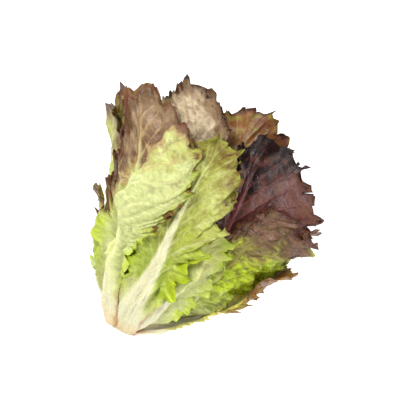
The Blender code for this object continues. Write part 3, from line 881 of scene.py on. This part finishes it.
def leaf_piece(fine, origin, resting):
    """A closed blade: the inner face, the outer face and the rim between them."""
    inner_face, outer_face = fine.faces()
    shape = inner_face.shape[:2]
    count = shape[0] * shape[1]
    face = triangles_of(shape)
    edge = rim_of(np.arange(count).reshape(shape))
    after = np.roll(edge, -1)
    rim = [np.stack([edge, after, after + count], 1), np.stack([edge, after + count, edge + count], 1)]
    triangles = np.concatenate([face[:, ::-1], face + count] + rim)
    points = np.concatenate([inner_face.reshape(-1, 3), outer_face.reshape(-1, 3)]) - origin
    if resting:
        points[:count, 2] = np.maximum(points[:count, 2], FINE_BLADE)
        points[count:, 2] = np.maximum(points[count:, 2], 0)
    made = mesh_object(fine.v["name"] + "_blade", points, triangles)
    core = np.exp(-((fine.across / (RIB_COLOUR_REACH * fine.rib_width())) ** RIB_COLOUR_POWER))
    held = {
        "tip_share": fine.t * np.ones(shape),
        "ripe": fine.t + fine.look["lean"] * fine.across / RIPE_REACH,
        "edge_mm": fine.edge / MM,
        "across_mm": fine.across / MM,
        "along_mm": fine.along / MM,
        "vein_place": fine.vein_place,
        "vein_gauge_mm": fine.vein_gauge / MM,
        "rib": core * (1 - RIB_FADED * smooth(*RIB_FADE, fine.t)),
        # The groove beside the rib, where the colour is darkened as painted shade
        "groove": fine.beside * (1 - fine.t) * smooth(*GROOVE_PAINTED_SHADE_SPAN, fine.t),
    }
    for name, values in held.items():
        give(made.data, name, values)
    return made


class Net:
    """A material's nodes, with short ways to add and link them."""

    def __init__(self, name):
        self.material = bpy.data.materials.new(name)
        self.material.use_nodes = True
        self.tree = self.material.node_tree
        self.shader = self.tree.nodes["Principled BSDF"]

    def feed(self, socket, value):
        if isinstance(value, bpy.types.NodeSocket):
            self.tree.links.new(value, socket)
        else:
            socket.default_value = value

    def fill(self, node, values):
        """Feeds a node's inputs by their names."""
        for name, value in values.items():
            self.feed(node.inputs[name], value)

    def node(self, kind, *values, **settings):
        """A new node with its settings, its first inputs fed in order."""
        made = self.tree.nodes.new("ShaderNode" + kind)
        for setting, value in settings.items():
            setattr(made, setting, value)
        for socket, value in zip(made.inputs, values):
            self.feed(socket, value)
        return made

    def number(self, name):
        return self.node("Attribute", attribute_name=name).outputs["Fac"]

    def math(self, operation, *values):
        return self.node("Math", *values, operation=operation).outputs[0]

    def times(self, first, second):
        return self.math("MULTIPLY", first, second)

    def plus(self, first, second):
        return self.math("ADD", first, second)

    def step(self, value, low, high, start=0.0, end=1.0):
        """A smooth step of a value from start at low to end at high."""
        return self.node("MapRange", value, low, high, start, end, interpolation_type="SMOOTHSTEP").outputs[0]

    def mix(self, share, first, second):
        node = self.node("Mix", data_type="RGBA")
        self.fill(node, {"Factor": share})
        for socket, value in zip([held for held in node.inputs if held.type == "RGBA"], (first, second)):
            self.feed(socket, value)
        return next(held for held in node.outputs if held.type == "RGBA")

    def ramp(self, value, stops):
        node = self.node("ValToRGB", value)
        elements = node.color_ramp.elements
        while len(elements) < len(stops):
            elements.new(0.5)
        for element, (place, colour) in zip(elements, stops):
            element.position = place
            element.color = colour
        return node.outputs[0]

    def place(self, *axes):
        return self.node("CombineXYZ", *axes).outputs[0]

    def noise(self, where, scale, detail=3.0):
        node = self.node("TexNoise", where)
        self.fill(node, {"Scale": scale, "Detail": detail})
        return node.outputs["Fac"]

    def net_of_cells(self, where, scale):
        node = self.node("TexVoronoi", where, feature="DISTANCE_TO_EDGE")
        self.fill(node, {"Scale": scale})
        return node.outputs["Distance"]


# A leaf's patterns: (how many a millimetre, detail)
BROAD_PATCHES = (0.05, 5.0)
PATCHES = (0.14, 3.0)
PUCKERS = (0.30, 2.5)
GRAIN = (0.9, 2.0)
STREAKS = (0.4, 3.0)
STREAK_STRETCH = 0.02
CELLS = 0.16
PATTERN_STEP = 31.0

# Smooth steps of a leaf's colours: (low, high) or (low, high, share at low, share at high)
BLOTCHES = (0.50, 0.66)
BLOTCH_SPAN = (0.35, 0.75)
VEIN_LINE = (0.25, 1.35, 1.0, 0.0)
TWIG_LINE = (0.015, 0.10, 1.0, 0.0)
VEIN_MARGIN = (0.0, 16.0)
VEIN_PATCHES = (0.38, 0.56, 0.35, 1.0)
RIB_CORE = (0.15, 0.85)
HEEL_LINE = (0.0, 5.0, 0.8, 0.0)
HEEL_SPAN = (0.03, 0.28, 1.0, 0.0)
EDGE_SPAN = (0.12, 0.3)
STREAK_SHADE = (0.35, 0.62, -0.09, 0.02)
# The range of the pucker pattern from painted shade in its hollows to painted light on its crests, and how
# that painted shade is kept off the rib
PAINTED_HOLLOWS = (0.32, 0.62)
PAINTED_SHADE_OFF_RIB = (0.0, 0.5, 1.0, 0.0)
GRAIN_SHADE = (0.25, 0.75, 0.88, 1.07)
BUMP_OFF_RIB = (0.0, 0.4)
ROUGH_PATCHES = (0.3, 0.7)

# How far the colours wander, and their other sizes and shares
RIPE_WANDER = 0.56
HEEL_WANDER = 8.0
EDGE_WANDER = 9.0
FRINGE_WANDER = 24.0
FRINGE_START = 0.2
EDGE_STRETCH = 1.6
EDGE_SHARE = 0.9
TWIG_SHARE = 0.35
# Painted light on the puckers' crests: the colour is made this much brighter there
PAINTED_CREST_LIGHT = 1.05

# Bumps, gloss and the light that goes into a leaf
VEIN_BUMP = 0.6
TWIG_BUMP = 0.25
GRAIN_BUMP = 0.45
STREAK_BUMP = 0.8
BUMP_STRENGTH = 0.7
BUMP_DISTANCE = 0.5 * MM
SMOOTHER = 0.06
ROUGHER = 0.08
SUBSURFACE = {
    "Subsurface Weight": 0.12, "Subsurface Radius": (1.0, 0.9, 0.3), "Subsurface Scale": 2 * MM,
}


class LeafNet(Net):
    """One leaf's material: cream rib, veined blade, brown margin, a dark broken fringe, and bumps."""

    def __init__(self, name, finish, seed):
        super().__init__(name)
        self.look = finish
        self.tip, self.edge = self.number("tip_share"), self.number("edge_mm")
        across, along = self.number("across_mm"), self.number("along_mm")
        flat = self.place(across, along, seed * PATTERN_STEP)
        drawn_out = self.place(across, self.times(along, STREAK_STRETCH))
        self.patches = self.noise(flat, *PATCHES)
        self.puckers = self.noise(flat, *PUCKERS)
        self.grain = self.noise(flat, *GRAIN)
        self.streak = self.noise(drawn_out, *STREAKS)
        self.twig = self.step(self.net_of_cells(flat, CELLS), *TWIG_LINE)
        self.vein = self.vein_line()
        broad = self.noise(flat, *BROAD_PATCHES)
        self.ripe = self.plus(self.number("ripe"), self.wander(broad, RIPE_WANDER))
        neck = self.step(self.tip, *finish["neck"], 1.0, 0.0)
        self.rib_part = self.math("MAXIMUM", self.step(self.number("rib"), *RIB_CORE), neck)
        self.paint()
        self.raise_bumps()
        self.set_gloss()

    def wander(self, pattern, size):
        """A pattern as a number that wanders round 0."""
        return self.math("MULTIPLY_ADD", pattern, size, -size / 2)

    def margin_part(self, size, line, span):
        """How much of a colour the margin takes: by the ragged distance from its edge, and along a span."""
        off = self.plus(self.edge, self.wander(self.patches, size))
        return self.times(self.step(off, *line), self.step(self.tip, *span))

    def vein_line(self):
        """1 on a vein, falling to 0 beside it."""
        place = self.math("FRACT", self.number("vein_place"))
        off = self.math("ABSOLUTE", self.math("SUBTRACT", place, 0.5))
        return self.step(self.times(off, self.number("vein_gauge_mm")), *VEIN_LINE)

    def blade_colour(self):
        """The ramp along the leaf, with its blotches."""
        finish = self.look
        reach = self.step(self.tip, *BLOTCH_SPAN, 0.0, finish["blotch_share"])
        part = self.times(self.step(self.patches, *BLOTCHES), reach)
        return self.mix(part, self.ramp(self.ripe, finish["blade"]), finish["blotch"])

    def vein_part(self):
        """How much of the rib's colour the veins and the net of cells take."""
        inside = self.step(self.edge, *VEIN_MARGIN)
        uneven = self.times(inside, self.step(self.patches, *VEIN_PATCHES))
        strength = self.times(uneven, self.look["vein_share"])
        twigs = self.times(self.times(self.twig, strength), TWIG_SHARE)
        return self.math("MAXIMUM", self.times(self.vein, strength), twigs)

    def tone_and_painted_shade(self):
        """Light and dark over all the colours: rib streaks and grain as tone, painted shade in the grooves
        beside the rib and in the pucker hollows, and painted light on the puckers' crests.
        """
        streaked = self.math("MULTIPLY_ADD", self.step(self.streak, *STREAK_SHADE), self.rib_part, 1.0)
        # Painted shade: the colour is darker in the groove beside the rib
        beside = self.math("MULTIPLY_ADD", self.number("groove"), -GROOVE_PAINTED_SHADE, 1.0)
        # Painted shade in the pucker hollows and painted light on their crests, kept off the rib
        lowest = 1 - PUCKER_PAINTED_SHADE * self.look["pucker"]
        painted_hollow_shade = self.math("SUBTRACT", self.step(self.puckers, *PAINTED_HOLLOWS, lowest, PAINTED_CREST_LIGHT), 1.0)
        painted_hollow_shade = self.math("MULTIPLY_ADD", painted_hollow_shade, self.step(self.rib_part, *PAINTED_SHADE_OFF_RIB), 1.0)
        tone_and_painted_shade = self.times(streaked, beside)
        tone_and_painted_shade = self.times(self.step(self.grain, *GRAIN_SHADE), tone_and_painted_shade)
        return self.times(tone_and_painted_shade, painted_hollow_shade)

    def paint(self):
        """Lays the colours over each other, from the blade's to the fringe's."""
        finish = self.look
        rib = self.ramp(self.tip, finish["rib"])
        margin = self.mix(self.step(self.ripe, *finish["edge_turn"]), *finish["edge"])
        colour = self.mix(self.vein_part(), self.blade_colour(), rib)
        colour = self.mix(self.rib_part, colour, rib)
        colour = self.mix(self.margin_part(HEEL_WANDER, HEEL_LINE, HEEL_SPAN), colour, HEEL_TAN)
        line = (0.0, finish["edge_width"] * EDGE_STRETCH, EDGE_SHARE, 0.0)
        colour = self.mix(self.margin_part(EDGE_WANDER, line, EDGE_SPAN), colour, margin)
        line = (FRINGE_START, finish["fringe_width"], 1.0, 0.0)
        span = (*finish["fringe_span"], 0.0, finish["fringe_share"])
        colour = self.mix(self.margin_part(FRINGE_WANDER, line, span), colour, finish["fringe"])
        # The colours are scaled by their tone and by the painted shade and light
        bright = self.node("VectorMath", colour, operation="SCALE")
        self.fill(bright, {"Scale": self.tone_and_painted_shade()})
        self.fill(self.shader, {"Base Color": bright.outputs[0]})

    def raise_bumps(self):
        """Veins, cells, grain, the rib's streaks and puckers."""
        height = self.math("MULTIPLY_ADD", self.vein, VEIN_BUMP, self.times(self.twig, TWIG_BUMP))
        height = self.plus(height, self.times(self.grain, GRAIN_BUMP))
        streaks = self.times(self.streak, self.rib_part)
        height = self.plus(height, self.times(streaks, STREAK_BUMP))
        off_rib = self.step(self.rib_part, *BUMP_OFF_RIB, self.look["pucker"] * PUCKER_HEIGHT, 0.0)
        height = self.plus(height, self.times(self.puckers, off_rib))
        bump = self.node("Bump")
        self.fill(bump, {"Strength": BUMP_STRENGTH, "Distance": BUMP_DISTANCE, "Height": height})
        self.fill(self.shader, {"Normal": bump.outputs[0]})

    def set_gloss(self):
        rough = self.look["roughness"]
        patchy = self.step(self.patches, *ROUGH_PATCHES, rough - SMOOTHER, rough + ROUGHER)
        self.fill(self.shader, {"Roughness": patchy, **SUBSURFACE})


def stem_piece(origin):
    """The cut stem, finer than the solid, its cut face a little hollowed."""
    sides, rings = STEM_SIDES, STEM_RINGS
    y = STEM_START + STEM_LENGTH * np.linspace(0, 1, rings)[:, None]
    turn = 2 * math.pi * np.arange(sides)[None, :] / sides
    radius = stem_radius(y) * (1 - STEM_GROOVE * np.cos(STEM_GROOVES * turn) ** 2)
    x = axis_side(y) + radius * np.cos(turn)
    z = axis_height(y) + radius * np.sin(turn)
    skin = np.stack([x, y + 0 * x, z], -1)
    lifts = ((STEM_START, STEM_HOLLOW), (STEM_START + STEM_LENGTH, 0.0))
    ends = [np.array([[axis_side(at), at + lift, axis_height(at)]]) for at, lift in lifts]
    points = np.concatenate([skin.reshape(-1, 3)] + ends) - origin
    number = np.arange(rings * sides).reshape(rings, sides)
    after = np.roll(number, -1, axis=1)
    a, b, c, d = number[:-1].ravel(), after[:-1].ravel(), after[1:].ravel(), number[1:].ravel()
    first, last = rings * sides, rings * sides + 1
    caps = [np.stack([number[0], after[0], np.full(sides, first)], 1),
            np.stack([after[-1], number[-1], np.full(sides, last)], 1)]
    triangles = np.concatenate([np.stack([a, c, b], 1), np.stack([a, d, c], 1)] + caps)
    return mesh_object("stem_cut", points, triangles)


def stem_material():
    net = Net("stem_flesh")
    mottled = net.noise(net.node("TexCoord").outputs["Object"], STEM_MOTTLING)
    net.fill(net.shader, {"Base Color": net.ramp(mottled, STEM_FLESH), "Roughness": STEM_ROUGHNESS})
    return net.material


def lay_leaves():
    """The solids' leaves, laid as the solids have them."""
    lattice = Lattice()
    items = [Leaf(values) for values in LEAVES]
    for item in items:
        item.lay_over(lattice)
    return items


def build_head():
    items = lay_leaves()
    origin = head_origin(items)
    lattice = Lattice()
    for item, ceiling in zip(items, ceilings(items, lattice)):
        finish = LOOKS.get(item.v["name"], INNER_LOOK)
        fine = FineLeaf(item, finish)
        fine.settle(lattice, ceiling, origin[2])
        made = leaf_piece(fine, origin, item is items[-1])
        made.data.materials.append(LeafNet(made.name, finish, item.v["seed"]).material)
        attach(made, "root")
        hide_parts(item.v["name"])
    stem = stem_piece(origin)
    stem.data.materials.append(stem_material())
    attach(stem, "root")
    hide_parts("stem")
    return origin


# The photograph's view: straight down, with the butt at one pixel and the head's axis turned from the frame's
FRAME_PIXELS = 400
BUTT_PIXEL = (117, 333)
PIXEL = 1.0 * MM
HEAD_TURN = math.radians(30)
VIEW_LEVEL = 60 * MM
LENS = 100.0
SENSOR = 36.0

# The studio: a light is (place, size, power)
FLOOR_SIZE = 6.0
FLOOR_FINISH = {
    "Base Color": (0.93, 0.93, 0.93, 1), "Roughness": 0.9,
    "Emission Color": (1, 1, 1, 1), "Emission Strength": 0.6,
}
SKY_COLOUR = (1, 1, 1, 1)
SKY_STRENGTH = 0.54
LIGHTS = {"key": ((-0.70, 0.30, 1.25), 0.7, 17), "fill": ((0.90, -0.25, 0.85), 0.9, 8)}
LIGHT_TARGET = (0, 0, 0.05)


def set_camera(origin):
    across = (FRAME_PIXELS / 2 - BUTT_PIXEL[0]) * PIXEL
    up = (BUTT_PIXEL[1] - FRAME_PIXELS / 2) * PIXEL
    c, s = math.cos(HEAD_TURN), math.sin(HEAD_TURN)
    middle = np.array([across * c - up * s, across * s + up * c]) - origin[:2]
    data = bpy.data.cameras.new("camera")
    data.lens = LENS
    data.sensor_width = SENSOR
    camera = bpy.data.objects.new("camera", data)
    away = FRAME_PIXELS * PIXEL * LENS / SENSOR
    turned = Matrix.Rotation(HEAD_TURN, 4, "Z")
    camera.matrix_world = Matrix.Translation((*middle, VIEW_LEVEL + away)) @ turned
    bpy.context.scene.collection.objects.link(camera)
    bpy.context.scene.camera = camera


def add_floor():
    bpy.ops.mesh.primitive_plane_add(size=FLOOR_SIZE)
    floor = bpy.context.object
    floor.name = "floor"
    net = Net("floor_white")
    net.fill(net.shader, FLOOR_FINISH)
    floor.data.materials.append(net.material)


def add_light(name, place, size, power):
    """A soft square light that looks at the head."""
    data = bpy.data.lights.new(name, "AREA")
    data.size = size
    data.energy = power
    lamp = bpy.data.objects.new(name, data)
    lamp.location = place
    bpy.context.scene.collection.objects.link(lamp)
    away = np.array(LIGHT_TARGET) - np.array(place)
    x, y, z = away / np.linalg.norm(away)
    lamp.rotation_euler = (math.acos(-z), 0.0, math.atan2(-x, y))


def set_light():
    world = bpy.data.worlds.new("studio")
    world.use_nodes = True
    sky = world.node_tree.nodes["Background"]
    sky.inputs["Color"].default_value = SKY_COLOUR
    sky.inputs["Strength"].default_value = SKY_STRENGTH
    bpy.context.scene.world = world
    for name, (place, size, power) in LIGHTS.items():
        add_light(name, place, size, power)
    bpy.context.scene.view_settings.view_transform = "Standard"


origin = build_head()
set_camera(origin)
add_floor()
set_light()
